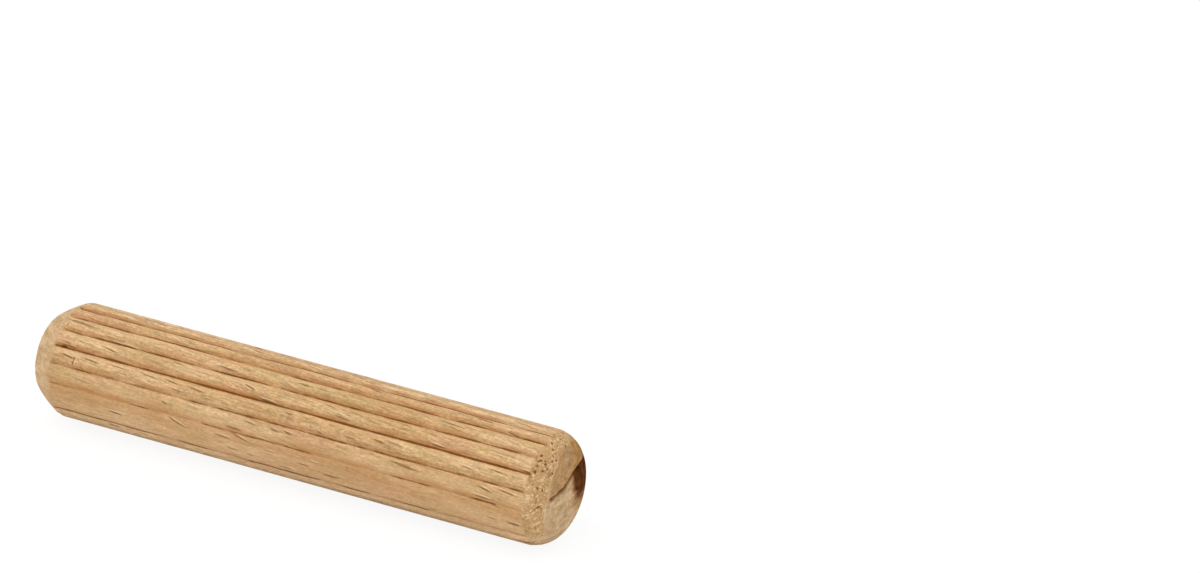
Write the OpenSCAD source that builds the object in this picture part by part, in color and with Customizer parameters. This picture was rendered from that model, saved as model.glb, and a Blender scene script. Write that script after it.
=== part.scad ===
// Fluted wooden dowel pin, cut from one piece of beech.
//
// The pin lies on its side along X, with the middle of its length at X = 0.
// One flute faces straight down, so that the pin rests on the two ribs beside
// that flute, and the lowest line of those ribs is at Z = 0.

/* [Pin] */
// Diameter over the ribs
pin_d = 8; // [7.8:0.05:8.2]
// Length from end face to end face
pin_length = 40; // [30:1:60]

/* [Flutes] */
// Number of flutes pressed round the pin
flute_count = 20; // [16:4:24]
// Depth of a full flute below the ribs
flute_depth = 0.3; // [0.2:0.01:0.38]
// Width of the narrow floor of a full flute
flute_floor = 0.06; // [0.04:0.01:0.1]
// Radius of the rounded shoulder on each side of a flute
shoulder_r = 0.38; // [0.36:0.01:0.42]
// Direction of the side that stayed nearly smooth, from +Y towards +Z
smooth_side = 196; // [150:1:210]
// Angle from the smooth side at which the flutes reach their full depth
fade_angle = 42; // [30:1:70]
// Depth of a flute on the smooth side, as a share of a full flute
faintest_flute = 0.15; // [0.1:0.01:0.3]

/* [Left end, at -X] */
// Length of the chamfer along the pin
left_chamfer_length = 1.8; // [1.2:0.1:2.4]
// Depth of the chamfer towards the middle of the face
left_chamfer_depth = 1.15; // [0.8:0.05:1.6]
// How far the chamfer bulges out from a straight cone
left_chamfer_bulge = 0.06; // [0.02:0.01:0.2]

/* [Right end, at +X] */
// Length of the chamfer along the pin
right_chamfer_length = 1.7; // [1.2:0.1:2.4]
// Depth of the chamfer towards the middle of the face
right_chamfer_depth = 1.45; // [0.8:0.05:1.6]
// How far the chamfer bulges out from a straight cone
right_chamfer_bulge = 0.34; // [0.02:0.01:0.36]

/* [Split in the right end face] */
// Depth of the split at the edge where it is widest
split_depth = 0.6; // [0.4:0.05:1]
// Width of the split at that edge
split_width = 0.6; // [0.4:0.05:1.2]
// Distance from the middle of the face to the split's closed end
split_start = 2; // [0:0.1:3.5]
// Height of the split above the middle of the face
split_offset = 0.74; // [0.3:0.02:1.2]
// Direction of the split across the face, from +Y towards +Z
split_angle = 20; // [0:1:40]

/* [Hidden] */

pin_r = pin_d / 2;
flute_pitch = 360 / flute_count;

// The shoulders start this far to each side of a flute's centre line. Each
// shoulder's circle meets the round of the pin at shoulder_edge, an angle
// from the flute's centre line.
shoulder_y = flute_floor / 2 + shoulder_r;
shoulder_far = norm([pin_r - shoulder_r, shoulder_y]);
shoulder_edge = atan2(shoulder_y, pin_r - shoulder_r)
  - acos((pow(pin_r, 2) + pow(shoulder_far, 2) - pow(shoulder_r, 2))
         / (2 * pin_r * shoulder_far));

// Height of the axis while the pin rests on the edges of the lowest flute
axis_height = pin_r * cos(shoulder_edge);

// Room past the surface for shapes that cut through it
past = 0.5;
// Straight steps that make up the bulged side of a chamfer
bulge_steps = 6;

// Smallest angle between two directions
function turn_between(a, b) = abs((a - b + 540) % 360 - 180);

// Share of the full depth that a flute has in the direction a
function flute_share(a) =
  max(faintest_flute, min(1, turn_between(a, smooth_side) / fade_angle));

// Points [radius, distance from the rim] along a chamfer, from the rim to the
// end face. The middle of the line stands out from a straight cone by bulge.
function chamfer_line(len, depth, bulge) =
  let (slant = norm([len, depth]))
  [for (i = [0:bulge_steps])
    let (t = i / bulge_steps, out = 4 * bulge * t * (1 - t))
    [pin_r - depth * t + out * len / slant, len * t + out * depth / slant]];

// The same line, drawn on past the rim so that it cuts the round of the pin
function open_chamfer(len, depth, bulge) =
  let (
    line = chamfer_line(len, depth, bulge),
    first = line[1] - line[0]
  )
  concat([line[0] + first * past / first.x], line);

// Area that one flute takes out of the section. The flute's centre line is
// the X axis, and X = 0 is the floor of a full flute.
module flute_area() {
  difference() {
    translate([0, -shoulder_y])
      square([flute_depth + past, 2 * shoulder_y]);
    for (side = [-1, 1])
      translate([flute_depth - shoulder_r, side * shoulder_y])
        circle(r = shoulder_r, $fn = 48);
  }
}

// Section across the pin, with +Y to the right and +Z up
module fluted_section() {
  difference() {
    circle(r = pin_r, $fn = 180);
    for (i = [0:flute_count - 1]) {
      direction = 270 + i * flute_pitch;
      rotate(direction)
        translate([pin_r - flute_depth * flute_share(direction % 360), 0])
          flute_area();
    }
  }
}

// Round blank with both ends chamfered, as a solid wider than the pin between
// the chamfers. Its left face is at Z = 0 and its axis is Z.
module chamfered_blank() {
  left = open_chamfer(left_chamfer_length, left_chamfer_depth, left_chamfer_bulge);
  right = open_chamfer(right_chamfer_length, right_chamfer_depth, right_chamfer_bulge);
  left_side = [for (i = [len(left) - 1:-1:0])
    [left[i].x, left_chamfer_length - left[i].y]];
  right_side = [for (p = right)
    [p.x, pin_length - right_chamfer_length + p.y]];
  rotate_extrude($fn = 96)
    polygon(concat([[0, 0]], left_side, right_side, [[0, pin_length]]));
}

// Wedge that opens the split. It starts at nothing at its closed end, and
// deepens and widens to the far edge of the pin.
module split_wedge() {
  slope = atan(split_depth / (pin_r + split_start));
  run = pin_r + split_start + 2 * past;
  rotate([0, 0, split_angle])
    translate([-split_start, split_offset, 0])
      rotate([90 + slope, 0, 90])
        linear_extrude(height = run)
          polygon([
            [0, 0],
            [split_width / split_depth * (split_depth + past) / 2, split_depth + past],
            [-split_width / split_depth * (split_depth + past) / 2, split_depth + past]
          ]);
}

module dowel_pin() {
  color("burlywood")
    translate([-pin_length / 2, 0, axis_height])
      rotate([90, 0, 90])
        difference() {
          intersection() {
            linear_extrude(height = pin_length)
              fluted_section();
            chamfered_blank();
          }
          translate([0, 0, pin_length])
            split_wedge();
        }
}

dowel_pin();
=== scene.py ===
"""Fluted beech dowel pin: its worked surface, its wood and the light it lies in.

Lengths are in metres. The pin lies along X with the middle of its length at
X = 0. Directions round it are angles from +Y towards +Z.
"""

import math

import bpy
import numpy as np
from bpy.props import FloatProperty, FloatVectorProperty, IntProperty, PointerProperty
from mathutils import Matrix, Vector


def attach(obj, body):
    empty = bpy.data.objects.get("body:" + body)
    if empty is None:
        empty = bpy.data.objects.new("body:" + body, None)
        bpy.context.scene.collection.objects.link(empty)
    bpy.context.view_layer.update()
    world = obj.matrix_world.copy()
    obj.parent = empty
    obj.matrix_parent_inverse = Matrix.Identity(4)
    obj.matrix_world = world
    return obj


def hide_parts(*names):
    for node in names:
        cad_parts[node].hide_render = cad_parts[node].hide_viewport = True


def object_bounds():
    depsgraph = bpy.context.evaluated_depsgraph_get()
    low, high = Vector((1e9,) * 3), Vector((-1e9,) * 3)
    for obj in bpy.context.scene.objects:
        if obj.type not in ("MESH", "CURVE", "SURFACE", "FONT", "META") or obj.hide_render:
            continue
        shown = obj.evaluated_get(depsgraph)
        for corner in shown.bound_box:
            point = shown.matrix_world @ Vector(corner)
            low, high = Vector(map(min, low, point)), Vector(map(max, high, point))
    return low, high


bl_info = {
    "name": "Fluted Dowel Pin",
    "version": (1, 0, 0),
    "blender": (4, 5, 0),
    "location": "3D View > Sidebar > Dowel",
    "description": "Builds a worn beech dowel pin and a small studio for it",
    "category": "Add Mesh",
}

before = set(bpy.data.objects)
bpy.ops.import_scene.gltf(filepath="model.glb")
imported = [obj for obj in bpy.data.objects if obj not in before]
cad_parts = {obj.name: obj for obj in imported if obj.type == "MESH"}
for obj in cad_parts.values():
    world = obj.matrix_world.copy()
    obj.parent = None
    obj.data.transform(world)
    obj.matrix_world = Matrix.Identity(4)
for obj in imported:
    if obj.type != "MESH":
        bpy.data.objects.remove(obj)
CAD_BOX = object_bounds()
NODE = "dowel_pin"

MM = 0.001
PIN_RADIUS = 4.0 * MM
HALF_LENGTH = 20.0 * MM
AXIS_HEIGHT = CAD_BOX[1].z / 2
FLUTES = 20
PITCH = math.tau / FLUTES
LOWEST_FLUTE = math.radians(270)


# ----------------------------------------------------------------- colours


def srgb(red, green, blue):
    """Linear colour from an everyday 0 to 255 colour."""
    def line(v):
        v = v / 255
        return v / 12.92 if v <= 0.04045 else ((v + 0.055) / 1.055) ** 2.4
    return (line(red), line(green), line(blue), 1.0)


def wood_colour(name, description, red, green, blue):
    """Setting for one colour of the wood, with an everyday 0 to 255 colour as its default."""
    return FloatVectorProperty(
        name=name, description=description, default=srgb(red, green, blue),
        size=4, min=0.0, max=1.0, subtype="COLOR")


# Tints that patches of the side grain take, and painted light on it
REDDER_WOOD = srgb(214, 168, 126)
YELLOWER_WOOD = srgb(208, 176, 124)
# Painted sheen: a paler tint towards the outlines and round the back
PAINTED_SHEEN_WOOD = srgb(232, 206, 170)
# Painted shade on the flute flank that faces down on the seen side, a brown that the brown streak takes too
SHADE_AND_STREAK_BROWN = srgb(178, 114, 50)
# Painted highlight on the flute flank that faces up on the seen side
FLANK_HIGHLIGHT_WOOD = srgb(240, 200, 148)

# Flecks and drawn marks, each with its lifted fibre in painted highlight
FLECK_BROWN, FLECK_FIBRE_HIGHLIGHT = srgb(124, 78, 36), srgb(246, 218, 178)
LONG_FLECK_BROWN = srgb(128, 82, 38)
MARK_BROWN, MARK_FIBRE_HIGHLIGHT = srgb(108, 64, 24), srgb(244, 216, 174)

# Cut grain: its darker rings, its browner half, the painted highlight along its face edges, and the painted
# shade in the flutes and split that cut it
DARK_RING = srgb(202, 167, 124)
BROWNER_CUT = srgb(176, 130, 76)
EDGE_HIGHLIGHT = srgb(236, 202, 164)
HOLLOW_SHADE = srgb(136, 86, 34)

# Torn grain from high to low, with painted shade in its low parts and holes, and the border and the darkest
# part of the dark patch
TORN_HIGH, TORN_LOW_SHADE, TORN_HOLE_SHADE = srgb(234, 200, 154), srgb(204, 164, 116), srgb(136, 92, 48)
DARK_PATCH_BORDER, DARKEST_PATCH = srgb(158, 108, 58), srgb(70, 32, 4)


# ---------------------------------------------------------------- settings


class PinShape(bpy.types.PropertyGroup):
    """Form of the pin's surface."""

    flute_depth: FloatProperty(
        name="Flute depth", description="Depth of a full flute below the ribs",
        default=0.30 * MM, unit="LENGTH")
    rib_roundness: FloatProperty(
        name="Rib roundness", description="Power of the curve from a rib's crown down to the flute",
        default=1.8, min=1.5, max=5.0)
    smooth_side: FloatProperty(
        name="Smooth side", description="Direction of the side where the flutes nearly vanish",
        default=math.radians(196), subtype="ANGLE")
    fade: FloatProperty(
        name="Fade", description="Angle over which the flutes reach their full depth",
        default=math.radians(42), subtype="ANGLE")
    faintest: FloatProperty(
        name="Faintest flute", description="Share of the full depth left on the smooth side",
        default=0.15, min=0.0, max=1.0)
    wander: FloatProperty(
        name="Wander", description="How far a flute strays sideways along the pin",
        default=0.025 * MM, unit="LENGTH")
    fibre_relief: FloatProperty(
        name="Fibre relief", description="Height of the fine ridges along the grain",
        default=0.020 * MM, unit="LENGTH")
    tear_depth: FloatProperty(
        name="Tear depth", description="Depth of the torn grain on the right chamfer",
        default=0.10 * MM, unit="LENGTH")
    split_depth: FloatProperty(
        name="Split depth", description="Depth of the split at the far edge of the right face",
        default=0.60 * MM, unit="LENGTH")
    split_width: FloatProperty(
        name="Split width", description="Width of the split at that edge",
        default=0.60 * MM, unit="LENGTH")
    seed: IntProperty(
        name="Seed", description="Start of every chance detail", default=11)


class BeechWood(bpy.types.PropertyGroup):
    """Main colours of the wood."""

    pale_grain: wood_colour("Pale grain", "Lighter bands along the grain", 224, 186, 140)
    dark_grain: wood_colour("Dark grain", "Darker bands along the grain", 208, 167, 119)
    cut_grain: wood_colour("Cut grain", "Chamfers and faces", 217, 185, 146)
    # The flute line is partly painted shade in the bottom of each groove and partly darker wood there
    flute_line: wood_colour("Flute line", "Dark line along the bottom of each flute", 118, 66, 16)
    dark_patch: wood_colour("Dark patch", "Brown patch and split in the right face", 112, 62, 22)


class Studio(bpy.types.PropertyGroup):
    """Light and view."""

    sky: FloatProperty(
        name="Sky", description="Strength of the even light from all sides", default=0.75)
    key: FloatProperty(
        name="Key", description="Strength of the soft lamp above the pin", default=0.9)
    key_spread: FloatProperty(
        name="Key spread", description="Angular size of the lamp",
        default=math.radians(50), subtype="ANGLE")
    lens: FloatProperty(
        name="Lens", description="Focal length in millimetres on a 36 mm wide sensor", default=300.3)
    distance: FloatProperty(
        name="Distance", description="From the camera to the floor in the middle of the view",
        default=706.6 * MM, unit="LENGTH")
    view_turn: FloatProperty(
        name="View turn", description="How far the view turns from +Y towards -X",
        default=math.radians(28.60), subtype="ANGLE")
    view_down: FloatProperty(
        name="View down", description="How far the view looks down",
        default=math.radians(23.57), subtype="ANGLE")
    view_roll: FloatProperty(
        name="View roll", description="Sideways tilt of the camera",
        default=math.radians(2.43), subtype="ANGLE")


# ------------------------------------------------------------------- noise


# Large odd numbers that scatter the corners of the noise, and that stir the result
SCATTER_X, SCATTER_Y, SCATTER_Z, SCATTER_SEED = 73856093, 19349663, 83492791, 2654435761
STIR_FIRST, STIR_SECOND = 2246822519, 3266489917
LOW_32_BITS, LOW_16_BITS = 0xFFFFFFFF, 0xFFFF


def corner_values(ix, iy, iz, seed):
    """Repeatable numbers from -1 to 1 at whole-number corners."""
    n = (ix * SCATTER_X) ^ (iy * SCATTER_Y) ^ (iz * SCATTER_Z) ^ (seed * SCATTER_SEED)
    n = n & LOW_32_BITS
    n = ((n ^ (n >> 15)) * STIR_FIRST) & LOW_32_BITS
    n = ((n ^ (n >> 13)) * STIR_SECOND) & LOW_32_BITS
    n = n ^ (n >> 16)
    return (n & LOW_16_BITS) / (LOW_16_BITS / 2) - 1.0


def smooth_noise(points, size, seed):
    """Smooth noise from -1 to 1. size is the length of one wave along X, Y and Z."""
    q = points / np.asarray(size)
    cell = np.floor(q).astype(np.int64)
    f = q - cell
    f = f * f * (3 - 2 * f)
    total = 0.0
    for dx in (0, 1):
        for dy in (0, 1):
            for dz in (0, 1):
                weight = (
                    (f[..., 0] if dx else 1 - f[..., 0])
                    * (f[..., 1] if dy else 1 - f[..., 1])
                    * (f[..., 2] if dz else 1 - f[..., 2])
                )
                total = total + weight * corner_values(
                    cell[..., 0] + dx, cell[..., 1] + dy, cell[..., 2] + dz, seed)
    return total


def cell_noise(points, size, seed):
    """Distance to the nearest scattered point, gap to the second nearest, and that point's number."""
    q = points / np.asarray(size)
    cell = np.floor(q).astype(np.int64)
    near = np.full(q.shape[:-1], 9.0)
    second = near.copy()
    number = np.zeros(q.shape[:-1])
    for dx in (-1, 0, 1):
        for dy in (-1, 0, 1):
            for dz in (-1, 0, 1):
                corner = cell + (dx, dy, dz)
                spot = np.stack([
                    corner[..., k] + 0.5 + 0.42 * corner_values(
                        corner[..., 0], corner[..., 1], corner[..., 2], seed + 31 * k)
                    for k in range(3)], -1)
                far = np.linalg.norm(q - spot, axis=-1)
                own = corner_values(corner[..., 0], corner[..., 1], corner[..., 2], seed + 101)
                closer = far < near
                second = np.where(closer, near, np.minimum(second, far))
                number = np.where(closer, own, number)
                near = np.where(closer, far, near)
    return near, second - near, number


def smooth_step(low, high, value):
    """0 below low, 1 above high and an even curve between."""
    t = np.clip((value - low) / (high - low), 0.0, 1.0)
    return t * t * (3 - 2 * t)


def band(start, whole, fading, end, value):
    """0 up to start, 1 from whole to fading, 0 from end on, and even curves between."""
    return smooth_step(start, whole, value) * smooth_step(end, fading, value)


def soft_min(a, b, width):
    """The smaller of two values, blended where they are closer than width."""
    h = np.clip(0.5 + 0.5 * (b - a) / width, 0.0, 1.0)
    return b * (1 - h) + a * h - width * h * (1 - h)


# ------------------------------------------------------------ pin geometry


# Straight steps that stand for a chamfer's curved side
CHAMFER_STEPS = 64
# Least slope of a chamfer's side where it is drawn on past the rim
LEAST_RISE = 0.35


class Chamfer:
    """Bulged chamfer at one end: side is -1 at the left end and 1 at the right."""

    def __init__(self, side, length, depth, bulge):
        self.side, self.length, self.depth, self.bulge = side, length, depth, bulge
        self.from_rim, self.radius = self.line(np.linspace(0.0, 1.0, CHAMFER_STEPS + 1))
        steps = np.hypot(np.diff(self.from_rim), np.diff(self.radius))
        self.from_face = np.append(np.cumsum(steps[::-1])[::-1], 0.0)

    def line(self, t):
        """Distance from the rim and radius at the share t of the way to the face."""
        slant = math.hypot(self.length, self.depth)
        out = 4 * self.bulge * t * (1 - t)
        return (
            self.length * t + out * self.depth / slant,
            PIN_RADIUS - self.depth * t + out * self.length / slant,
        )

    def places(self, t):
        """X of the rings at the shares t."""
        return self.side * (HALF_LENGTH - self.length + self.line(t)[0])

    def past_rim(self, x):
        """Distance along the pin from the rim to X, below 0 on the shank."""
        return self.side * x - (HALF_LENGTH - self.length)

    def radius_at(self, x):
        """Radius of the chamfer at X. On the shank it is larger than the pin's radius."""
        past_rim = self.past_rim(x)
        cone = np.interp(past_rim, self.from_rim, self.radius)
        rise = (self.radius[0] - self.radius[1]) / (self.from_rim[1] - self.from_rim[0])
        return np.where(past_rim < 0, PIN_RADIUS - past_rim * max(rise, LEAST_RISE), cone)

    def way_to_face(self, x):
        """Distance along the chamfer's surface from X to the edge of the face."""
        return np.interp(self.past_rim(x), self.from_rim, self.from_face)


LEFT = Chamfer(-1, 1.80 * MM, 1.15 * MM, 0.06 * MM)
RIGHT = Chamfer(1, 1.70 * MM, 1.45 * MM, 0.34 * MM)

# Direction of the split across the right face, its height above the middle and where it starts
SPLIT_ANGLE = math.radians(20)
SPLIT_OFFSET = 0.74 * MM
SPLIT_START = 2.0 * MM
# Sag of the split's line: depth, place and half width, then the lift at its closed end
SAG, SAG_PLACE, SAG_WIDTH = 0.22 * MM, -0.15 * MM, 0.6 * MM
SPLIT_LIFT = 0.30 * MM
# Width of the split above its line and below it, as shares of the half width, and its least half width
WIDTH_ABOVE, WIDTH_BELOW, LEAST_WIDTH = 0.6, 2.2, 0.02 * MM

# Degrees that a flute in this direction lies off its even place
STRAY_FLUTES = {108: -2.0, 126: -1.0, 162: 1.0, 180: 3.0, 216: 1.5}

# Strength of the dark line in the flutes that show it best. Chance gives the others theirs
LINE_STRENGTHS = {90: 1.0, 108: 0.65, 126: 0.7, 144: 0.95, 162: 0.6, 180: 1.0, 216: 1.0}
# Least strength that chance gives a line
FAINTEST_LINE = 0.55

MARK_WIDTH = 0.14 * MM
# Half length of a mark's oval, as a share of the mark's length
MARK_REACH = 0.65
# Where a mark has faded out and where it is whole, as shares of its oval
MARK_FADE = (1.1, 0.4)
# How far above a mark its pale fibre lies, in half widths of the mark; the fibre's paleness is a painted
# highlight
MARK_FIBRE_ABOVE = 1.7
# Single scratches and flecks: X and length in millimetres, direction round the pin and slope in degrees
MARKS = [
    # Two short cuts that meet, and small nicks where flutes start; their dark colour is partly painted shade
    # in them
    (-17.0, 1.0, 152, 10), (-16.5, 1.0, 157, 100), (-18.0, 0.5, 142, -35), (-18.0, 0.5, 121, -70),
    # On the fluted upper side
    (-14.5, 1.0, 86, 10), (-9.5, 1.5, 90, 10), (5.5, 1.0, 98, 10), (12.0, 2.0, 115, 5),
    (-14.0, 1.0, 135, 10), (-3.0, 1.0, 134, 15), (0.0, 1.5, 122, 15), (3.0, 1.0, 131, 5),
    # On the rib below the deepest line, and on the smooth side
    (8.5, 1.5, 150, 5), (16.5, 1.5, 150, 5), (-9.0, 0.5, 171, 15), (16.0, 1.0, 170, 10),
    (-8.0, 1.5, 188, 20), (-3.0, 1.5, 186, 15), (16.5, 1.5, 183, 10),
]
# Rows of like flecks: a typical one that is also the first, how many there are, and the X of the last
FLECK_ROWS = [
    ((-15.0, 1.5, 150, 5), 5, -7.0), ((0.0, 1.0, 149, 5), 3, 3.5), ((-2.0, 1.0, 168, 10), 3, 1.0),
    ((-1.5, 1.5, 182, 5), 2, 1.0), ((-12.5, 1.5, 217, 0), 2, -10.0), ((-4.5, 2.0, 217, 0), 6, 16.0),
]
# How far a fleck of a row may differ from the typical one: X, length, direction and slope
FLECK_SPREAD = (0.4, 0.4, 1.0, 3.0)
# Least strength that chance gives a mark
FAINTEST_MARK = 0.7

# Direction of the brown streak, and of the side that faces the view, away from which the wood is painted
# paler as a painted sheen towards the outlines
BROWN_STREAK = math.radians(188)
VIEW_SIDE = math.radians(152)

# Direction where the torn grain comes nearest to the right face, and how much its strongest side
# lies higher than that
TORN_MIDDLE = math.radians(156)
TORN_HIGHER = math.radians(8)
# How far the torn grain has drawn back from the face at 50 degrees from that direction
TORN_WIDENING, WIDENING_TURN = 0.40 * MM, math.radians(50)
# Direction of the side where the torn grain has few holes
PITLESS_SIDE = math.radians(180)


def turn_between(a, b):
    """Smallest angle between two directions."""
    return abs((a - b + math.pi) % math.tau - math.pi)


def flute_share(shape, direction):
    """Share of the full depth that a flute in this direction has."""
    return max(shape.faintest, min(1.0, turn_between(direction, shape.smooth_side) / shape.fade))


def split_cut(shape, y, z):
    """Depth of the split below the right face, and how far a place lies above its line.

    The line sags near the middle of the face and lifts towards its closed end.
    """
    sag = -SAG * np.exp(-((y - SAG_PLACE) / SAG_WIDTH) ** 2)
    lift = SPLIT_LIFT * smooth_step(-1.2 * MM, -2.2 * MM, y)
    along = y * math.cos(SPLIT_ANGLE) + z * math.sin(SPLIT_ANGLE) + SPLIT_START
    above = z * math.cos(SPLIT_ANGLE) - y * math.sin(SPLIT_ANGLE) - SPLIT_OFFSET - sag - lift
    share = np.sqrt(np.clip(along / (SPLIT_START + PIN_RADIUS), 0.0, 1.0))
    half_width = shape.split_width / 2 * share + LEAST_WIDTH
    half_width = half_width * np.where(above > 0, WIDTH_ABOVE, WIDTH_BELOW)
    return shape.split_depth * share * np.clip(1 - abs(above) / half_width, 0.0, 1.0), above


# Columns of the mesh from a flute's middle to the crown of a rib, and how they crowd to the middle
HALF_COLUMNS = 11
CROWDING = 1.3

# Rings of the mesh on each stretch of the pin, and the length of the stretch where flutes start
LEFT_FACE_RINGS, RIGHT_FACE_RINGS = 8, 24
LEFT_CHAMFER_RINGS, RIGHT_CHAMFER_RINGS = 26, 62
FLUTE_START_RINGS, SHANK_RINGS = 16, 90
FLUTE_START_LENGTH = 1.2 * MM


def column_angles():
    """Flute number and angle from that flute's middle for each column of the mesh."""
    steps = np.arange(-HALF_COLUMNS, HALF_COLUMNS)
    offsets = np.sign(steps) * (abs(steps) / HALF_COLUMNS) ** CROWDING * PITCH / 2
    return np.repeat(np.arange(FLUTES), len(steps)), np.tile(offsets, FLUTES)


def ring_places():
    """X and share of the face's radius (1 off the faces) for each ring."""
    left_face = np.linspace(0.0, 1.0, LEFT_FACE_RINGS + 2)[1:-1]
    right_face = np.linspace(1.0, 0.0, RIGHT_FACE_RINGS + 2)[1:-1]
    left = LEFT.places(np.linspace(1.0, 0.0, LEFT_CHAMFER_RINGS))
    right = RIGHT.places(np.linspace(0.0, 1.0, RIGHT_CHAMFER_RINGS))
    near_left = np.linspace(left[-1], left[-1] + FLUTE_START_LENGTH, FLUTE_START_RINGS + 1)[1:]
    middle = np.linspace(near_left[-1], right[0], SHANK_RINGS + 2)[1:-1]
    x = np.concatenate([
        np.full(len(left_face), -HALF_LENGTH), left, near_left, middle, right,
        np.full(len(right_face), HALF_LENGTH)])
    share = np.ones(len(x))
    share[:len(left_face)] = left_face
    share[-len(right_face):] = right_face
    return x, share


def flute_at(degrees):
    """Number of the flute in this direction."""
    return round((math.radians(degrees) - LOWEST_FLUTE) / PITCH) % FLUTES


def flute_stray(flute):
    """How far each flute's middle lies off its even place, for the few that do."""
    stray = np.zeros(FLUTES)
    for direction, degrees in STRAY_FLUTES.items():
        stray[flute_at(direction)] = math.radians(degrees)
    return stray[flute]


class Skin:
    """Places on the pin's surface: one row for each ring and one column for each direction."""

    def __init__(self):
        flute, offset = column_angles()
        ring_x, ring_share = ring_places()
        self.x, self.offset = np.meshgrid(ring_x, offset, indexing="ij")
        self.flute = np.broadcast_to(flute, self.x.shape)
        self.face_share = np.broadcast_to(ring_share[:, None], self.x.shape)
        inner = 1 - abs(self.offset) / (PITCH / 2)
        self.angle = LOWEST_FLUTE + self.flute * PITCH + self.offset + flute_stray(self.flute) * inner
        self.unit_y, self.unit_z = np.cos(self.angle), np.sin(self.angle)
        self.places = self.at(self.x, PIN_RADIUS)

    def at(self, x, radius):
        """Places at X and at this distance from the pin's axis."""
        return np.stack([x, radius * self.unit_y, radius * self.unit_z], -1)

    def near(self, x, direction, half_length, half_width):
        """1 at one place on the skin and 0 outside an oval round it."""
        away = (self.angle - direction + math.pi) % math.tau - math.pi
        far = np.hypot((self.x - x) / half_length, away * PIN_RADIUS / half_width)
        return smooth_step(1.0, 0.0, far)


# Distance between two flutes in the noise, so that each gets its own
FLUTE_APART = 3.7
# Distances from a flute's middle where its dark line has faded out and where it is whole
LINE_FADE = (0.14 * MM, 0.01 * MM)
# Where the two painted flanks of a flute begin, are whole, fade and end: painted shade on the flank that
# faces down on the seen side, painted highlight on the one that faces up
SHADED_FLANK = (-0.50 * MM, -0.08 * MM, 0.0, 0.10 * MM)
LIT_FLANK = (0.08 * MM, 0.20 * MM, 0.22 * MM, 0.50 * MM)


def along_flutes(skin, wave, seed):
    """Noise from -1 to 1 along every flute, with waves of this length."""
    places = np.stack([skin.x, skin.flute * FLUTE_APART, 0 * skin.x], -1)
    return smooth_noise(places, (wave, 1, 1), seed)


def flute_form(shape, skin, share):
    """Depth of the flutes below the ribs, and each place's angle from the middle of its flute."""
    seed, half = shape.seed, PITCH / 2
    # Slow and quick waves of the flute's way along the pin, and of its depth
    sway = along_flutes(skin, 6.0 * MM, seed) + 0.5 * along_flutes(skin, 1.5 * MM, seed + 13)
    swell = 1 + 0.16 * along_flutes(skin, 5.0 * MM, seed + 1)
    swell = swell + 0.12 * along_flutes(skin, 1.4 * MM, seed + 14)
    side = skin.offset + sway * shape.wander / PIN_RADIUS * (1 - abs(skin.offset) / half)
    # Fainter flutes are narrower too
    power = shape.rib_roundness * (1 + 0.8 * (1 - share))
    return shape.flute_depth * share * swell * (1 - np.clip(abs(side) / half, 0, 1)) ** power, side


def flute_tones(shape, skin, share, side):
    """Shares of the dark line, the painted shade on the flank that faces down and the painted highlight on
    the flank that faces up.
    """
    strength = np.random.default_rng(shape.seed + 20).uniform(FAINTEST_LINE, 1.0, FLUTES)
    for direction, known in LINE_STRENGTHS.items():
        strength[flute_at(direction)] = known
    bold = strength[skin.flute] * smooth_step(0.10, 0.55, share)
    away = side * PIN_RADIUS
    gaps = smooth_step(0.10, -0.30, along_flutes(skin, 1.8 * MM, shape.seed + 21))
    unbroken = 1 - gaps * smooth_step(0.80, 0.50, share)
    line = smooth_step(*LINE_FADE, abs(away)) * bold * unbroken
    pressed = band(*SHADED_FLANK, away) * bold
    pale = band(*LIT_FLANK, away) * bold * smooth_step(0.80, 1.0, share)
    return line, pressed, pale


# Half length and half width of the pits at the flutes' left ends, and how far above a flute they lie
PIT_SIZE, PIT_ABOVE = (0.26 * MM, 0.15 * MM), math.radians(1.5)
# Most that a pit's depth can be, as a share of the tear depth
PIT_SHARE = 0.7
# The deepest pit: X, direction, half length and half width, then its own share of the tear depth
DEEPEST_PIT = (-17.6 * MM, math.radians(143), 0.40 * MM, 0.18 * MM)
DEEPEST_PIT_SHARE = 1.6


def flute_notches(shape, skin):
    """Small pits where the fluting tool broke fibres out at the left ends of the flutes."""
    random = np.random.default_rng(shape.seed + 17)
    notches = np.zeros_like(skin.x)
    for i in range(FLUTES):
        direction = LOWEST_FLUTE + i * PITCH
        depth = PIT_SHARE * flute_share(shape, direction) * random.uniform(0.2, 1.0)
        x = -HALF_LENGTH + LEFT.length + random.uniform(0.1, 0.5) * MM
        notches = np.maximum(notches, depth * skin.near(x, direction - PIT_ABOVE, *PIT_SIZE))
    return np.maximum(notches, DEEPEST_PIT_SHARE * skin.near(*DEEPEST_PIT))


# Length and width of a clump of torn grain, and how far its border bends
CLUMP = (0.26 * MM, 0.20 * MM, 0.20 * MM)
CLUMP_BEND = 0.09 * MM
# Shares of the tear depth: what clumps differ by, the valleys between them and the holes
CLUMP_SHARE, VALLEY_SHARE, HOLE_SHARE = 0.14, 0.48, 0.85


def torn_grain(shape, places, pitted):
    """Share from 0 to 1 that the crumbled grain lies low: clumps, and more holes where pitted is 1."""
    warp = smooth_noise(places, (0.20 * MM, 0.20 * MM, 0.20 * MM), shape.seed + 12)
    bent = places + CLUMP_BEND * warp[..., None]
    near, gap, number = cell_noise(bent, CLUMP, shape.seed + 6)
    patch = smooth_noise(places, (0.7 * MM, 0.7 * MM, 0.7 * MM), shape.seed + 7)
    valley = smooth_step(0.34, 0.0, gap) * (0.70 + 0.40 * patch)
    hole = smooth_step(0.56, 0.30, near) * smooth_step(0.84, 0.88, number + 0.26 * pitted)
    return np.clip(CLUMP_SHARE * (1 - number) + VALLEY_SHARE * valley + HOLE_SHARE * hole, 0, 1)


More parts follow.
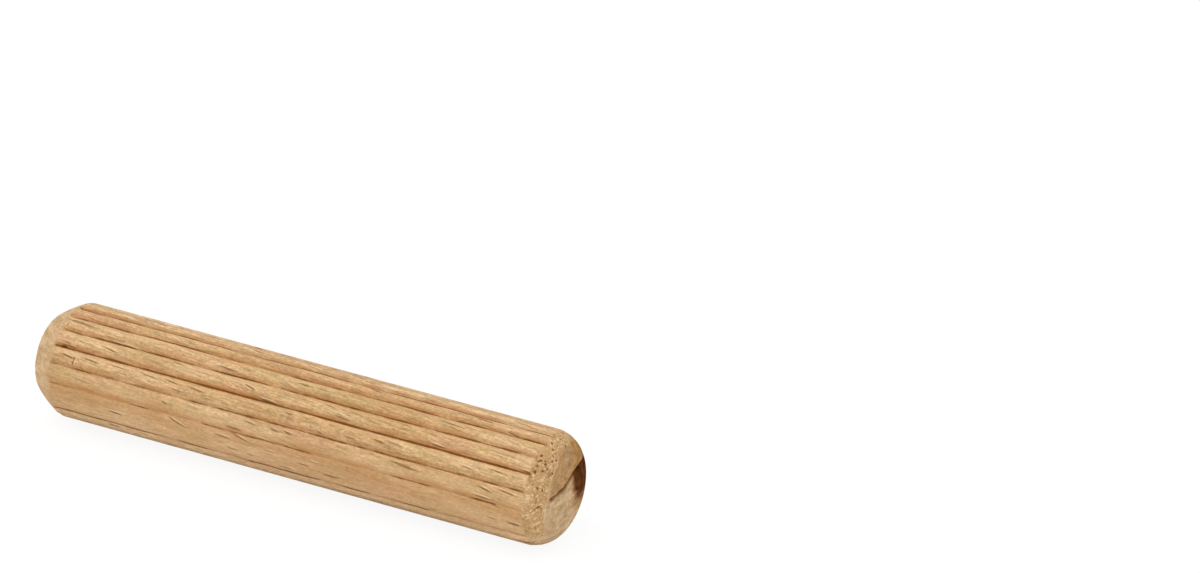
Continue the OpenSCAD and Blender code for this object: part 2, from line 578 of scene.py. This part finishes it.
# Distances past the rim, and from the face, over which torn grain sets in
TORN_FROM_RIM, TORN_FROM_FACE = (0.40 * MM, 0.55 * MM), (0.03 * MM, 0.10 * MM)
# Angles from its strongest side where it has grown weak and where it is whole, and its weak share
TORN_HALF_TURN = (math.radians(84), math.radians(62))
LEAST_TORN = 0.2


def torn_share(skin, past_rim, to_face):
    """Share of torn grain on the right chamfer, which is weaker on the far side."""
    side = turn_between(skin.angle, TORN_MIDDLE - TORN_HIGHER)
    torn = smooth_step(*TORN_FROM_RIM, past_rim) * smooth_step(*TORN_FROM_FACE, to_face)
    torn = torn * (LEAST_TORN + (1 - LEAST_TORN) * smooth_step(*TORN_HALF_TURN, side))
    return torn * (skin.face_share == 1)


# Distances from the edge of a face where its pale band, a painted highlight along the edge, has faded and
# where it is whole, at the right and at the left, and the same round the pin from the middle of the torn
# grain
RIGHT_EDGE, LEFT_EDGE = (0.10 * MM, 0.03 * MM), (0.12 * MM, 0.02 * MM)
EDGE_HALF_TURN = (math.radians(62), math.radians(30))


def edge_highlights(skin, x, to_face, ragged):
    """Share of the pale band round each face, a painted highlight along its edge. On the right it borders the
    torn grain.
    """
    side = turn_between(skin.angle, TORN_MIDDLE)
    right = smooth_step(*RIGHT_EDGE, abs(to_face)) * smooth_step(0.93, 0.97, skin.face_share)
    right = right * smooth_step(*EDGE_HALF_TURN, side)
    left = smooth_step(*LEFT_EDGE, LEFT.way_to_face(x)) * smooth_step(0.90, 0.98, skin.face_share)
    return np.clip(np.where(x > 0, right, left) * (0.7 + 0.5 * ragged), 0, 1)


# Mean depth of the saw marks and of the wear, and depth of the lower half and of the brown patch
SAWN_DEPTH, WORN_DEPTH = 0.008 * MM, 0.03 * MM
LOW_HALF_DEPTH, PATCH_DEPTH = 0.05 * MM, 0.16 * MM
# Depth of the split from which on its painted shade is full
DARK_DEPTH = 0.24 * MM


def face_relief(shape, skin, y, z):
    """Depth of an end face below its flat, and shares of the split's painted shade, dark brown patch and
    browner half.

    Only the right face has the last three.
    """
    seed = shape.seed
    flat = np.stack([np.sign(skin.x), y, z], -1)
    sawn = SAWN_DEPTH * (1 + smooth_noise(flat, (1, 0.30 * MM, 0.12 * MM), seed + 8))
    worn = WORN_DEPTH * (1 + smooth_noise(flat, (1, 1.6 * MM, 1.1 * MM), seed + 9))
    split, above = split_cut(shape, y, z)

    # The brown patch at the far edge, with a wavy border, and the lower half below the split's line
    wave = 0.16 * MM * smooth_noise(flat, (1, 9 * MM, 0.7 * MM), seed + 15)
    wave = wave + 0.14 * MM * smooth_noise(flat, (1, 0.5 * MM, 0.2 * MM), seed + 18)
    patch = smooth_step(0.70 * MM, 2.10 * MM, y + wave) * smooth_step(0.08 * MM, -0.10 * MM, above)
    patch = patch * smooth_step(-2.2 * MM, 0.1 * MM, z + wave)
    low_half = smooth_step(0.06 * MM, -0.02 * MM, above) * smooth_step(-2.0 * MM, -1.0 * MM, y)
    on_right = skin.x > 0
    relief = sawn + on_right * (worn + split + LOW_HALF_DEPTH * low_half + PATCH_DEPTH * patch)

    # The browner half above the line, and the dark band with blotches under it, painted shade under the
    # split's upper lip
    upper = smooth_step(-0.1 * MM, 0.3 * MM, above) * (0.62 + 0.38 * smooth_step(0.2 * MM, 1.8 * MM, y))
    blotches = smooth_noise(flat, (1, 0.5 * MM, 0.3 * MM), seed + 19)
    under = band(-0.46 * MM, -0.08 * MM, 0.0, 0.06 * MM, above)
    under = under * smooth_step(-2.4 * MM, -1.9 * MM, y) * (0.65 + 0.35 * blotches)
    closed_end = smooth_step(-1.2 * MM, -1.9 * MM, y)
    shaded = np.maximum(split / DARK_DEPTH, (0.55 + 0.25 * closed_end) * under)
    return relief, on_right * shaded, on_right * patch, on_right * upper


def fluted_radius(shape, skin, depth):
    """Radius of the shank, with its flutes and the fine ridges of its fibres."""
    grain = smooth_noise(skin.places, (2.6 * MM, 0.17 * MM, 0.17 * MM), shape.seed + 2)
    coarse = smooth_noise(skin.places, (5.0 * MM, 0.42 * MM, 0.42 * MM), shape.seed + 3)
    grain = 0.6 * grain + 0.4 * coarse
    return PIN_RADIUS - depth - shape.fibre_relief * (0.5 + 0.5 * grain)


# How far a ragged border strays along the pin, and beside the right face
RAGGED_ALONG, RAGGED_AT_FACE = 0.16 * MM, 0.05 * MM
# Distances past the rims where the flutes have run out and where they are whole
RIGHT_RUN_OUT, LEFT_RUN_OUT = (0.75 * MM, 0.40 * MM), (0.30 * MM, -0.25 * MM)
# Distances past the right rim over which cut grain sets in, and the same at the left
RIGHT_CUT, LEFT_CUT = (0.38 * MM, 0.55 * MM), (-0.35 * MM, 0.65 * MM)
# Mean depth of the left chamfer below its line
LEFT_CUT_DEPTH = 0.012 * MM
# Width over which the rims are rounded
RIM_WIDTH = 0.03 * MM
# Length of chamfer beside a face that sinks with it
SINKING_LENGTH = 0.9 * MM


def pin_surface(shape):
    """Places and surface values of every vertex, as rings by columns."""
    skin = Skin()
    x, seed = skin.x, shape.seed
    full = np.array([flute_share(shape, LOWEST_FLUTE + i * PITCH) for i in range(FLUTES)])
    share = full[skin.flute]
    depth, side = flute_form(shape, skin, share)
    crease, pressed, pale = flute_tones(shape, skin, share, side)

    # Where each kind of surface begins, with a ragged border that varies round the pin
    ragged = smooth_noise(skin.places, (9, 0.45 * MM, 0.45 * MM), seed + 4)
    ragged = ragged + 0.6 * smooth_noise(skin.places, (9, 0.16 * MM, 0.16 * MM), seed + 5)
    past_right = RIGHT.past_rim(x) + RAGGED_ALONG * ragged
    past_left = LEFT.past_rim(x)
    widening = TORN_WIDENING * (turn_between(skin.angle, TORN_MIDDLE) / WIDENING_TURN) ** 1.5
    to_face = RIGHT.way_to_face(x) + RAGGED_AT_FACE * ragged - widening
    torn = torn_share(skin, past_right, to_face)
    run_out = smooth_step(*RIGHT_RUN_OUT, past_right) * smooth_step(*LEFT_RUN_OUT, past_left)

    # The shank and the two chamfers, then what is torn out of them
    shank = fluted_radius(shape, skin, depth * run_out)
    ends = np.minimum(LEFT.radius_at(x), RIGHT.radius_at(x))
    ends = ends - LEFT_CUT_DEPTH * smooth_step(-0.05 * MM, 0.25 * MM, past_left) * (1 + ragged)
    notch = flute_notches(shape, skin)
    pitted = smooth_step(math.radians(15), math.radians(50), turn_between(skin.angle, PITLESS_SIDE))
    low = torn * torn_grain(shape, skin.at(x, np.minimum(ends, PIN_RADIUS)), pitted)
    radius = (soft_min(shank, ends, RIM_WIDTH) - shape.tear_depth * (low + notch)) * skin.face_share

    # The relief of the faces, which sinks the last stretch of the chamfers with it
    y, z = radius * skin.unit_y, radius * skin.unit_z
    relief, shaded, dark_patched, upper = face_relief(shape, skin, y, z)
    from_end = HALF_LENGTH - abs(x)
    x = x - np.sign(x) * np.maximum(0.0, relief - from_end) * smooth_step(SINKING_LENGTH, 0.0, from_end)

    hollow = np.maximum(depth * run_out / shape.flute_depth, low)
    hollow = np.maximum(hollow, shaded)
    left_grain = smooth_step(*LEFT_CUT, past_left + RAGGED_ALONG * ragged)
    end_grain = np.maximum(left_grain, smooth_step(*RIGHT_CUT, past_right))
    browner = upper * smooth_step(2.0 * MM, 1.2 * MM, RIGHT.way_to_face(x)) * (1 - torn)
    browner = np.maximum(browner, 0.4 * smooth_step(0.06 * MM, 0.02 * MM, LEFT.way_to_face(x)))
    from_smooth = turn_between(skin.angle, shape.smooth_side)
    from_streak = turn_between(skin.angle, BROWN_STREAK)
    from_view_side = turn_between(skin.angle, VIEW_SIDE)

    values = {
        # Less contrast in the grain's colour on the smooth side; the stronger contrast on the fluted side is
        # partly painted light, as raking light shows its fibres
        "quiet_grain": smooth_step(shape.fade, 0.4 * shape.fade, from_smooth),
        "streak": smooth_step(math.radians(8), math.radians(3), from_streak),
        # Painted sheen towards the outlines, carried round the back
        "lighter": smooth_step(math.radians(46), math.radians(68), from_view_side),
        "hollow": np.clip(hollow, 0, 1),
        # The dark line in the flutes and the pits at their left ends, partly painted shade
        "crease": np.maximum(crease * run_out, np.clip(notch, 0, 1)),
        # Painted shade on the flute flank that faces down, and painted highlight on the one that faces up
        "pressed": pressed * run_out,
        "pale": pale * run_out,
        "end_grain": end_grain,
        "torn": torn,
        "edge": edge_highlights(skin, x, to_face, ragged),
        "dark_patch": np.clip(dark_patched, 0, 1),
        "browner": np.clip(browner, 0, 1),
    }
    return np.stack([x, y, z + AXIS_HEIGHT], -1), values


def ring_faces(rings, columns):
    """Quads between neighbouring rings, then a fan round each end's middle vertex."""
    j, c = np.meshgrid(np.arange(rings - 1), np.arange(columns), indexing="ij")
    j, c = j.ravel(), c.ravel()
    after = (c + 1) % columns
    quads = np.stack([j * columns + c, j * columns + after,
                      (j + 1) * columns + after, (j + 1) * columns + c], -1)
    c = np.arange(columns)
    after = (c + 1) % columns
    last = (rings - 1) * columns
    left_middle, right_middle = rings * columns, rings * columns + 1
    left_fan = np.stack([after, c, np.full(columns, left_middle)], -1)
    right_fan = np.stack([last + c, last + after, np.full(columns, right_middle)], -1)
    return quads.tolist() + left_fan.tolist() + right_fan.tolist()


def make_mesh(name, places, faces, **values):
    """Smooth mesh object with one float attribute for each named value."""
    mesh = bpy.data.meshes.new(name)
    mesh.from_pydata(places.tolist(), [], faces)
    mesh.update()
    mesh.shade_smooth()
    for key, numbers in values.items():
        layer = mesh.attributes.new(key, "FLOAT", "POINT")
        layer.data.foreach_set("value", np.asarray(numbers, dtype=np.float32))
    made = bpy.data.objects.new(name, mesh)
    bpy.context.scene.collection.objects.link(made)
    return made


def build_pin(shape):
    """The pin as one closed mesh."""
    places, values = pin_surface(shape)
    rings, columns = places.shape[:2]
    middles = [places[0].mean(axis=0), places[-1].mean(axis=0)]
    flat = np.concatenate([places.reshape(-1, 3), middles])
    layers = {
        name: np.concatenate([grid.ravel(), [grid[0].mean(), grid[-1].mean()]])
        for name, grid in values.items()
    }
    return make_mesh("beech_pin", flat, ring_faces(rings, columns), **layers)


# --------------------------------------------------------------- materials


NO_SHIFT = (0.0, 0.0, 0.0)

# Angle to each side between the grain and the pin's axis, and the same for the ray flecks
GRAIN_TILT, FLECK_TILT = math.radians(3), math.radians(4.5)
# Usual distance between ray flecks along and across the grain, and a fleck's half length and width
FLECK_CELL, FLECK_SIZE = (2.2 * MM, 0.40 * MM, 0.40 * MM), (0.85 * MM, 0.085 * MM)
LONG_FLECK_CELL, LONG_FLECK_SIZE = (4.5 * MM, 0.9 * MM, 0.9 * MM), (1.3 * MM, 0.10 * MM)
# Share of the cells that hold a fleck
FLECKS_KEPT, LONG_FLECKS_KEPT = 0.55, 0.6
# How far above a fleck its pale fibre lies; the fibre's paleness is a painted highlight
FIBRE_ABOVE = 0.11 * MM
# Height of the finest grain, which only changes how light falls on the wood
GRAIN_HEIGHT = 0.03 * MM


def put(tree, kind, inputs=None, **settings):
    """New node. inputs maps a socket to a value or to another node's output."""
    node = tree.nodes.new(kind)
    for key, value in settings.items():
        setattr(node, key, value)
    for key, value in (inputs or {}).items():
        if isinstance(value, bpy.types.NodeSocket):
            tree.links.new(value, node.inputs[key])
        else:
            node.inputs[key].default_value = value
    return node


def calc(tree, operation, a, b):
    """Result of one Math node."""
    return put(tree, "ShaderNodeMath", {0: a, 1: b}, operation=operation).outputs[0]


def ramp(tree, value, low, high):
    """Smooth share from 0 to 1 as value goes from low to high."""
    return put(tree, "ShaderNodeMapRange", {"Value": value, "From Min": low, "From Max": high},
               interpolation_type="SMOOTHSTEP").outputs["Result"]


def share_of(tree, value, share):
    """Value times a plain number."""
    return calc(tree, "MULTIPLY", value, share)


def blend(tree, share, a, b):
    """Colour a turned towards b by share."""
    return put(tree, "ShaderNodeMix", {0: share, 6: a, 7: b}, data_type="RGBA").outputs[2]


def shade(tree, colour, value, low, high):
    """Colour made darker or lighter: times low where value is 0.3, and times high where it is 0.7."""
    factor = put(tree, "ShaderNodeMapRange",
                 {"Value": value, "From Min": 0.3, "From Max": 0.7, "To Min": low, "To Max": high}).outputs[0]
    return put(tree, "ShaderNodeVectorMath", {0: colour, "Scale": factor}, operation="SCALE").outputs[0]


def vector(tree, operation, a, b):
    """Result of one Vector Math node."""
    return put(tree, "ShaderNodeVectorMath", {0: a, 1: b}, operation=operation).outputs[0]


def length_of(tree, a):
    """Length of a vector."""
    return put(tree, "ShaderNodeVectorMath", {0: a}, operation="LENGTH").outputs["Value"]


def painted(tree, *names):
    """Shares from 0 to 1 that the mesh holds under these names."""
    return [put(tree, "ShaderNodeAttribute", attribute_name=name).outputs["Fac"] for name in names]


def on_pin(tree):
    """Place on the pin, in its own X, Y and Z."""
    return put(tree, "ShaderNodeTexCoord").outputs["Object"]


def stretched(tree, place, scale, shift=NO_SHIFT):
    """Coordinates scaled apart along X, Y and Z."""
    return put(tree, "ShaderNodeMapping", {"Vector": place, "Scale": scale, "Location": shift}).outputs[0]


def noise(tree, place, scale, detail=2.0, rough=0.5, shift=NO_SHIFT):
    """Noise with its own scale along each axis."""
    return put(tree, "ShaderNodeTexNoise",
               {"Vector": stretched(tree, place, scale, shift), "Scale": 1.0, "Detail": detail,
                "Roughness": rough}).outputs["Fac"]


def flecks(tree, place, cell, size, kept, shift=NO_SHIFT):
    """Scattered slim marks as a share from 0 to 1.

    cell is their usual distance, size is their half length and half width, and kept is the share
    of cells that hold one.
    """
    in_cells = stretched(tree, place, tuple(1 / c for c in cell), shift)
    spots = put(tree, "ShaderNodeTexVoronoi",
                {"Vector": in_cells, "Scale": 1.0, "Randomness": 1.0},
                feature="F1", distance="EUCLIDEAN")
    half_length, half_width = size
    slim = tuple(c / s for c, s in zip(cell, (half_length, half_width, half_width)))
    away = vector(tree, "SUBTRACT", in_cells, spots.outputs["Position"])
    far = length_of(tree, vector(tree, "MULTIPLY", away, slim))
    chance = put(tree, "ShaderNodeSeparateColor", {"Color": spots.outputs["Color"]}).outputs
    far = calc(tree, "DIVIDE", far, calc(tree, "ADD", chance[1], 0.5))
    return calc(tree, "MULTIPLY", ramp(tree, far, 1.0, 0.5), calc(tree, "LESS_THAN", chance[0], kept))


def along_grain(tree, tilt):
    """Coordinates along the grain, which runs off the pin's axis by this angle to each side."""
    return put(tree, "ShaderNodeMapping",
               {"Vector": on_pin(tree), "Rotation": (0.0, -tilt, tilt)}).outputs[0]


def every_mark(seed):
    """The single marks, and those of the rows, each a little off its even place."""
    random = np.random.default_rng(seed)
    rows = [
        tuple(np.array((x, *first[1:])) + random.uniform(-1, 1, 4) * FLECK_SPREAD)
        for first, count, last_x in FLECK_ROWS
        for x in np.linspace(first[0], last_x, count)
    ]
    return MARKS + rows


def drawn_marks(tree, seed):
    """Shares from 0 to 1 of the dark marks, and of the lifted fibre along the upper side of each, whose
    paleness is a painted highlight.
    """
    whole = on_pin(tree)
    random = np.random.default_rng(seed + 22)
    dark = pale = 0.0
    for x, long, direction, slope in every_mark(seed):
        turn = math.radians(direction)
        place = (x * MM, PIN_RADIUS * math.cos(turn), PIN_RADIUS * math.sin(turn) + AXIS_HEIGHT)
        lean = Matrix.Rotation(turn, 3, "X") @ Matrix.Rotation(-math.radians(slope), 3, "Y")
        away = put(tree, "ShaderNodeMapping",
                   {"Vector": whole, "Location": place, "Rotation": lean.to_euler("XYZ"),
                    "Scale": (long * MARK_REACH * MM, MARK_WIDTH, MARK_WIDTH / 2)},
                   vector_type="TEXTURE").outputs[0]
        above = vector(tree, "ADD", away, (0.0, 0.0, MARK_FIBRE_ABOVE))
        near, near_above = (ramp(tree, length_of(tree, v), *MARK_FADE) for v in (away, above))
        dark = calc(tree, "MAXIMUM", share_of(tree, near, random.uniform(FAINTEST_MARK, 1.0)), dark)
        pale = calc(tree, "MAXIMUM", near_above, pale)
    return dark, pale


def bare_grain(tree, wood, along, fibre, fuzz):
    """Colour of side grain before its flecks: bands, tints and fibres, a painted sheen towards the outlines,
    and painted shade and painted highlight on the flute flanks.
    """
    pressed, pale, quiet_grain, streak, lighter = painted(
        tree, "pressed", "pale", "quiet_grain", "streak", "lighter")
    broad = noise(tree, along, (130, 700, 700), detail=3.0)
    redder = noise(tree, along, (190, 800, 800), detail=2.0, shift=(5.0, 3.0, 1.0))
    yellower = noise(tree, along, (230, 900, 900), detail=2.0, shift=(1.0, 9.0, 4.0))
    colour = blend(tree, ramp(tree, broad, 0.38, 0.62), wood.pale_grain, wood.dark_grain)
    colour = blend(tree, share_of(tree, ramp(tree, redder, 0.52, 0.66), 0.7), colour, REDDER_WOOD)
    colour = blend(tree, share_of(tree, ramp(tree, yellower, 0.52, 0.66), 0.6), colour, YELLOWER_WOOD)
    # Painted sheen: paler towards the outlines
    colour = blend(tree, share_of(tree, lighter, 0.30), colour, PAINTED_SHEEN_WOOD)
    # Stronger grain contrast on the fluted side, partly painted light of raking light on its fibres
    rough_colour = shade(tree, shade(tree, colour, fibre, 0.67, 1.25), fuzz, 0.74, 1.24)
    smooth_colour = shade(tree, shade(tree, colour, fibre, 0.82, 1.12), fuzz, 0.84, 1.14)
    colour = blend(tree, quiet_grain, rough_colour, smooth_colour)

    # Painted shade makes the flank of a flute that faces down browner, and painted highlight makes the flank
    # that faces up paler; the brown streak takes the same brown
    patch = noise(tree, along, (500, 600, 600), detail=2.0, shift=(7.0, 0.0, 2.0))
    brown = calc(tree, "MULTIPLY", pressed, ramp(tree, patch, 0.10, 0.62))
    brown = calc(tree, "MAXIMUM", brown, share_of(tree, calc(tree, "MULTIPLY", streak, patch), 0.55))
    colour = blend(tree, share_of(tree, brown, 0.70), colour, SHADE_AND_STREAK_BROWN)
    return blend(tree, share_of(tree, pale, 0.38), colour, FLANK_HIGHLIGHT_WOOD)


def side_grain(tree, wood, seed):
    """Colour and height of beech along the grain."""
    along = along_grain(tree, GRAIN_TILT)
    fibre = noise(tree, along, (700, 8000, 8000), detail=3.0, rough=0.65)
    fuzz = noise(tree, along, (3600, 9500, 9500), detail=2.0, rough=0.6, shift=(4.0, 4.0, 8.0))
    colour = bare_grain(tree, wood, along, fibre, fuzz)

    # Ray flecks: short dark dashes in loose groups, each with a lifted fibre above it whose paleness is a
    # painted highlight
    slanted = along_grain(tree, FLECK_TILT)
    group = ramp(tree, noise(tree, slanted, (160, 750, 750), shift=(2.0, 8.0, 4.0)), 0.42, 0.58)
    lifted = vector(tree, "ADD", slanted, (0.0, 0.0, -FIBRE_ABOVE))
    dash, fringe = (
        calc(tree, "MULTIPLY", group,
             flecks(tree, place, FLECK_CELL, FLECK_SIZE, FLECKS_KEPT, shift=(3.1, 7.7, 1.9)))
        for place in (slanted, lifted)
    )
    long_dash = flecks(
        tree, slanted, LONG_FLECK_CELL, LONG_FLECK_SIZE, LONG_FLECKS_KEPT, shift=(5.3, 1.2, 6.4))
    colour = blend(tree, share_of(tree, fringe, 0.60), colour, FLECK_FIBRE_HIGHLIGHT)
    colour = blend(tree, share_of(tree, dash, 0.80), colour, FLECK_BROWN)
    colour = blend(tree, share_of(tree, long_dash, 0.70), colour, LONG_FLECK_BROWN)
    drawn, drawn_fringe = drawn_marks(tree, seed)
    # Painted highlight on the fibre lifted above each drawn mark
    colour = blend(tree, share_of(tree, drawn_fringe, 0.45), colour, MARK_FIBRE_HIGHLIGHT)
    colour = blend(tree, share_of(tree, drawn, 0.85), colour, MARK_BROWN)

    height = calc(tree, "ADD", share_of(tree, fibre, 0.9), share_of(tree, fringe, 0.8))
    height = calc(tree, "ADD", height, share_of(tree, fuzz, 0.5))
    return colour, calc(tree, "SUBTRACT", height, share_of(tree, dash, 0.9))


def cut_grain(tree, wood, hollow, torn):
    """Colour and height of beech cut across the grain, on the chamfers and faces."""
    whole = on_pin(tree)
    edge, dark_patch, browner = painted(tree, "edge", "dark_patch", "browner")
    rings = noise(tree, whole, (60, 900, 2600), detail=3.0, rough=0.6, shift=(9.0, 1.0, 0.0))
    grit = noise(tree, whole, (7000, 7000, 7000), detail=2.0, rough=0.6)
    patches = noise(tree, whole, (1500, 1500, 1500), detail=3.0, rough=0.6, shift=(2.0, 7.0, 1.0))
    colour = blend(tree, ramp(tree, rings, 0.35, 0.65), wood.cut_grain, DARK_RING)
    colour = blend(tree, browner, colour, BROWNER_CUT)
    colour = shade(tree, colour, rings, 1.04, 0.96)
    even = shade(tree, colour, patches, 0.84, 1.14)
    uneven = shade(tree, colour, patches, 0.66, 1.34)
    colour = shade(tree, blend(tree, browner, even, uneven), grit, 0.78, 1.16)

    # Torn grain is pale where it stands high and browner lower down, darkest in its holes: painted shade by
    # depth
    crumb = blend(tree, ramp(tree, hollow, 0.05, 0.30), TORN_HIGH, TORN_LOW_SHADE)
    crumb = blend(tree, ramp(tree, hollow, 0.30, 0.85), crumb, TORN_HOLE_SHADE)
    colour = blend(tree, torn, colour, crumb)
    # Painted shade in the hollows of the cut grain: the split, the band under its line, and the flutes where
    # they run out
    deep = calc(tree, "MULTIPLY", ramp(tree, hollow, 0.05, 0.6), calc(tree, "SUBTRACT", 1.0, torn))
    colour = blend(tree, share_of(tree, deep, 0.93), colour, HOLLOW_SHADE)
    # Painted highlight along the edges of the faces
    colour = blend(tree, share_of(tree, edge, 0.8), colour, EDGE_HIGHLIGHT)

    # The dark patch is mottled, with a paler border
    mottle = noise(tree, whole, (900, 2600, 1500), detail=3.0, rough=0.6, shift=(3.0, 5.0, 1.0))
    dark = blend(tree, ramp(tree, mottle, 0.35, 0.65), DARKEST_PATCH, wood.dark_patch)
    colour = blend(tree, share_of(tree, ramp(tree, dark_patch, 0.0, 0.4), 0.75), colour, DARK_PATCH_BORDER)
    colour = blend(tree, share_of(tree, ramp(tree, dark_patch, 0.25, 0.8), 0.97), colour, dark)
    return colour, grit


def empty_material(name):
    """New material with no nodes in its tree yet, and that tree."""
    material = bpy.data.materials.new(name)
    material.use_nodes = True
    material.node_tree.nodes.clear()
    return material, material.node_tree


def beech_material(wood, seed):
    """Bare beech: side grain on the shank, and cut grain on the chamfers and faces."""
    material, tree = empty_material("beech_wood")
    hollow, crease, end_grain, torn = painted(tree, "hollow", "crease", "end_grain", "torn")
    side, side_height = side_grain(tree, wood, seed)
    cut, cut_height = cut_grain(tree, wood, hollow, torn)
    colour = blend(tree, end_grain, side, cut)

    # Dark line along the bottom of each flute, broken where it is faint: partly painted shade in the groove,
    # partly darker wood
    worn = noise(tree, on_pin(tree), (600, 500, 500), detail=3.0, rough=0.55, shift=(0.0, 6.0, 6.0))
    uneven = share_of(tree, calc(tree, "SUBTRACT", worn, 0.5), 1.3)
    line = ramp(tree, calc(tree, "ADD", crease, uneven), 0.28, 0.80)
    colour = blend(tree, share_of(tree, line, 0.85), colour, wood.flute_line)

    height = put(tree, "ShaderNodeMix", {0: end_grain, 2: side_height, 3: cut_height}).outputs[0]
    bump = put(tree, "ShaderNodeBump", {"Strength": 0.6, "Distance": GRAIN_HEIGHT, "Height": height})
    shader = put(tree, "ShaderNodeBsdfPrincipled",
                 {"Base Color": colour, "Roughness": 0.85, "Normal": bump.outputs[0],
                  "Specular IOR Level": 0.04})
    put(tree, "ShaderNodeOutputMaterial", {"Surface": shader.outputs[0]})
    return material


def grey(value):
    """Neutral colour."""
    return (value, value, value, 1.0)


def floor_material():
    """Pale matt floor that the camera sees as white but for the shadow."""
    material, tree = empty_material("floor_white")
    seen = put(tree, "ShaderNodeLightPath").outputs["Is Camera Ray"]
    lit = put(tree, "ShaderNodeBsdfDiffuse", {"Color": grey(FLOOR_GREY)})
    dim = put(tree, "ShaderNodeBsdfDiffuse", {"Color": grey(SHADOW_GREY)})
    glow = put(tree, "ShaderNodeEmission", {"Strength": FLOOR_GLOW})
    white = put(tree, "ShaderNodeAddShader", {0: dim.outputs[0], 1: glow.outputs[0]})
    both = put(tree, "ShaderNodeMixShader", {0: seen, 1: lit.outputs[0], 2: white.outputs[0]})
    put(tree, "ShaderNodeOutputMaterial", {"Surface": both.outputs[0]})
    return material


# ------------------------------------------------------------------ studio


# Half the side of the floor, in metres
FLOOR_HALF = 3.0
# Grey of the floor where it lights the pin, and what the camera sees: a glow, and a faint grey that
# takes the shadow
FLOOR_GREY, FLOOR_GLOW, SHADOW_GREY = 0.92, 0.91, 0.11
# Direction in which the lamp shines
LAMP_DIRECTION = (0.20, 0.32, -0.93)
# Place on the floor in the middle of the view
AIM = (0.56 * MM, 39.10 * MM, 0.0)
# Width of the camera's sensor in millimetres, and the nearest that it sees, in metres
SENSOR_WIDTH = 36.0
NEAREST_SEEN = 0.01


def build_floor():
    """Large flat floor under the pin."""
    corners = np.array([(-1, -1, 0), (1, -1, 0), (1, 1, 0), (-1, 1, 0)]) * FLOOR_HALF
    floor = make_mesh("floor", corners, [(0, 1, 2, 3)])
    floor.data.materials.append(floor_material())


def build_light(studio):
    """Even sky and one broad soft lamp from above, in front and to the left."""
    world = bpy.data.worlds.new("sky")
    bpy.context.scene.world = world
    world.use_nodes = True
    tree = world.node_tree
    tree.nodes.clear()
    seen = put(tree, "ShaderNodeLightPath").outputs["Is Camera Ray"]
    strength = calc(tree, "ADD", calc(tree, "MULTIPLY", seen, 1.0 - studio.sky), studio.sky)
    sky = put(tree, "ShaderNodeBackground", {"Color": grey(1.0), "Strength": strength})
    put(tree, "ShaderNodeOutputWorld", {"Surface": sky.outputs[0]})
    lamp = bpy.data.lights.new("key", "SUN")
    lamp.energy = studio.key
    lamp.angle = studio.key_spread
    key = bpy.data.objects.new("key", lamp)
    key.rotation_mode = "QUATERNION"
    key.rotation_quaternion = Vector(LAMP_DIRECTION).to_track_quat("-Z", "Y")
    bpy.context.scene.collection.objects.link(key)


def build_camera(studio):
    """Long lens, in front of the pin, to its right and above it, tilted a little to one side."""
    data = bpy.data.cameras.new("camera")
    data.sensor_width = SENSOR_WIDTH
    data.lens = studio.lens
    data.clip_start = NEAREST_SEEN
    camera = bpy.data.objects.new("camera", data)
    level = math.cos(studio.view_down)
    look = Vector((
        -math.sin(studio.view_turn) * level,
        math.cos(studio.view_turn) * level,
        -math.sin(studio.view_down)))
    turned = look.to_track_quat("-Z", "Y").to_matrix().to_4x4()
    roll = Matrix.Rotation(studio.view_roll, 4, "Z")
    camera.matrix_world = Matrix.Translation(Vector(AIM) - studio.distance * look) @ turned @ roll
    bpy.context.scene.collection.objects.link(camera)
    bpy.context.scene.camera = camera


# --------------------------------------------------------------- operators


class DOWEL_OT_pin(bpy.types.Operator):
    """Build the pin with its flutes, torn chamfer and split"""

    bl_idname = "dowel.pin"
    bl_label = "Build Pin"

    def execute(self, context):
        shape = context.scene.dowel_shape
        pin = build_pin(shape)
        pin.data.materials.append(beech_material(context.scene.dowel_wood, shape.seed))
        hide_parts(NODE)
        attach(pin, "root")
        return {"FINISHED"}


class DOWEL_OT_studio(bpy.types.Operator):
    """Build the floor, the light and the camera"""

    bl_idname = "dowel.studio"
    bl_label = "Build Studio"

    def execute(self, context):
        studio = context.scene.dowel_studio
        build_floor()
        build_light(studio)
        build_camera(studio)
        context.scene.view_settings.view_transform = "Standard"
        return {"FINISHED"}


class DOWEL_PT_panel(bpy.types.Panel):
    """Settings and build buttons"""

    bl_label = "Dowel Pin"
    bl_idname = "DOWEL_PT_panel"
    bl_space_type = "VIEW_3D"
    bl_region_type = "UI"
    bl_category = "Dowel"

    def draw(self, context):
        layout = self.layout
        scene = context.scene
        for group in (scene.dowel_shape, scene.dowel_wood, scene.dowel_studio):
            column = layout.column()
            for name in group.__annotations__:
                column.prop(group, name)
        layout.operator(DOWEL_OT_pin.bl_idname)
        layout.operator(DOWEL_OT_studio.bl_idname)


CLASSES = (PinShape, BeechWood, Studio, DOWEL_OT_pin, DOWEL_OT_studio, DOWEL_PT_panel)


def register():
    """Register the classes and hang their settings on the scene."""
    for cls in CLASSES:
        bpy.utils.register_class(cls)
    bpy.types.Scene.dowel_shape = PointerProperty(type=PinShape)
    bpy.types.Scene.dowel_wood = PointerProperty(type=BeechWood)
    bpy.types.Scene.dowel_studio = PointerProperty(type=Studio)


def unregister():
    """Take the settings and the classes away again."""
    del bpy.types.Scene.dowel_studio
    del bpy.types.Scene.dowel_wood
    del bpy.types.Scene.dowel_shape
    for cls in reversed(CLASSES):
        bpy.utils.unregister_class(cls)


def main():
    """Build the pin and the studio."""
    register()
    bpy.ops.dowel.pin()
    bpy.ops.dowel.studio()


if __name__ == "__main__":
    main()
